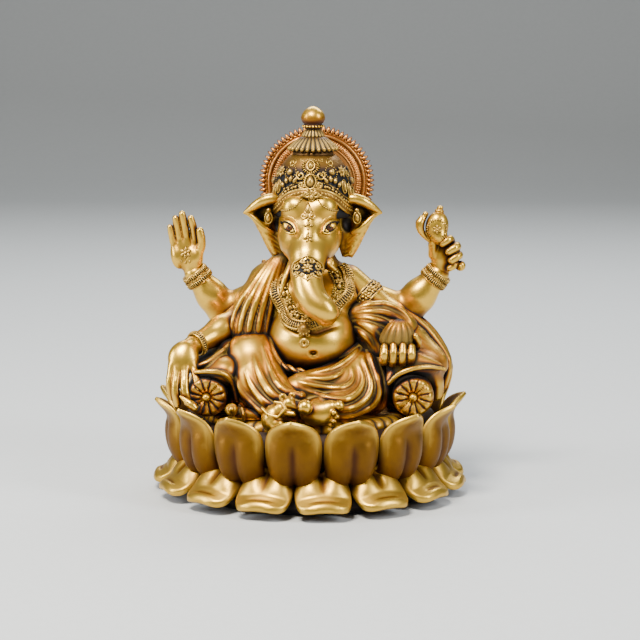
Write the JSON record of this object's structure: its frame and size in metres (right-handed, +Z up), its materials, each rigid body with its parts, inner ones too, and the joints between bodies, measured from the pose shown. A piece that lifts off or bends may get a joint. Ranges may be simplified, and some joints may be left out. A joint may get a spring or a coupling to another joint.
{
  "type": "seated elephant-headed idol on a lotus base",
  "caption": "Small cast figure with an elephant head and four arms, seated among bolsters on a round two-tier lotus base.",
  "frame": {"origin": "centre of the footprint, on the surface that the idol stands on", "axes": "+Z up, the figure faces -Y, its own left hand is on the +X side"},
  "size_m": [0.0988, 0.0977, 0.1226],
  "materials": {
    "gold_skin": "antique gold paint on cast resin, satin, with a dark brown wash in the hollows",
    "gold_petal": "antique gold paint on cast resin, satin",
    "gold_cloth": "antique gold paint on cast resin, with an orange-brown and dark wash in the folds",
    "gold_ornament": "antique gold paint on cast resin, dark wash, pale dry-brushed highlights",
    "halo_copper": "copper-red paint on cast resin, satin",
    "base_pad": "matt black non-slip pad"
  },
  "bodies": {
    "root": {"armlet_left": "gold_ornament", "base_pad": "base_pad", "bolster_left": "gold_cloth", "bolster_left_button": "gold_skin", "bolster_right": "gold_cloth", "bolster_right_button": "gold_skin", "broken_tusk": "gold_skin", "conch": "gold_ornament", "conch_tip": "gold_ornament", "cover_right": "gold_cloth", "crown_band": "gold_ornament", "crown_dome": "gold_ornament", "crown_finial": "gold_skin", "crown_parasol": "gold_ornament", "cushion_left": "gold_cloth", "dhoti_left_leg": "gold_cloth", "dhoti_right_leg": "gold_cloth", "ear_left": "gold_skin", "ear_right": "gold_skin", "earring_left": "gold_ornament", "earring_right": "gold_ornament", "forehead_ornament": "gold_ornament", "front_left_arm": "gold_skin", "front_left_hand": "gold_skin", "front_right_arm": "gold_skin", "front_right_bangle": "gold_ornament", "front_right_hand": "gold_skin", "garland": "gold_ornament", "halo_plate": "halo_copper", "halo_rim": "halo_copper", "head": "gold_skin", "lotus_lower_tier": "gold_petal", "lotus_upper_tier": "gold_petal", "mouse": "gold_skin", "mouse_sweet": "gold_skin", "necklace": "gold_ornament", "pendant": "gold_ornament", "rear_left_bangle": "gold_ornament", "rear_left_forearm": "gold_skin", "rear_left_hand": "gold_skin", "rear_left_upper_arm": "gold_skin", "rear_right_bangle": "gold_ornament", "rear_right_forearm": "gold_skin", "rear_right_hand": "gold_skin", "rear_right_upper_arm": "gold_skin", "right_foot": "gold_skin", "seat_disc": "gold_cloth", "shawl_back": "gold_cloth", "shawl_left": "gold_cloth", "shawl_left_tail": "gold_cloth", "shawl_right": "gold_cloth", "sweet": "gold_ornament", "tassel": "gold_ornament", "torso": "gold_skin", "trunk": "gold_skin", "trunk_band": "gold_ornament", "tusk_left_broken": "gold_skin", "tusk_right": "gold_skin", "waist_sash": "gold_cloth"}
  },
  "joints": []
}
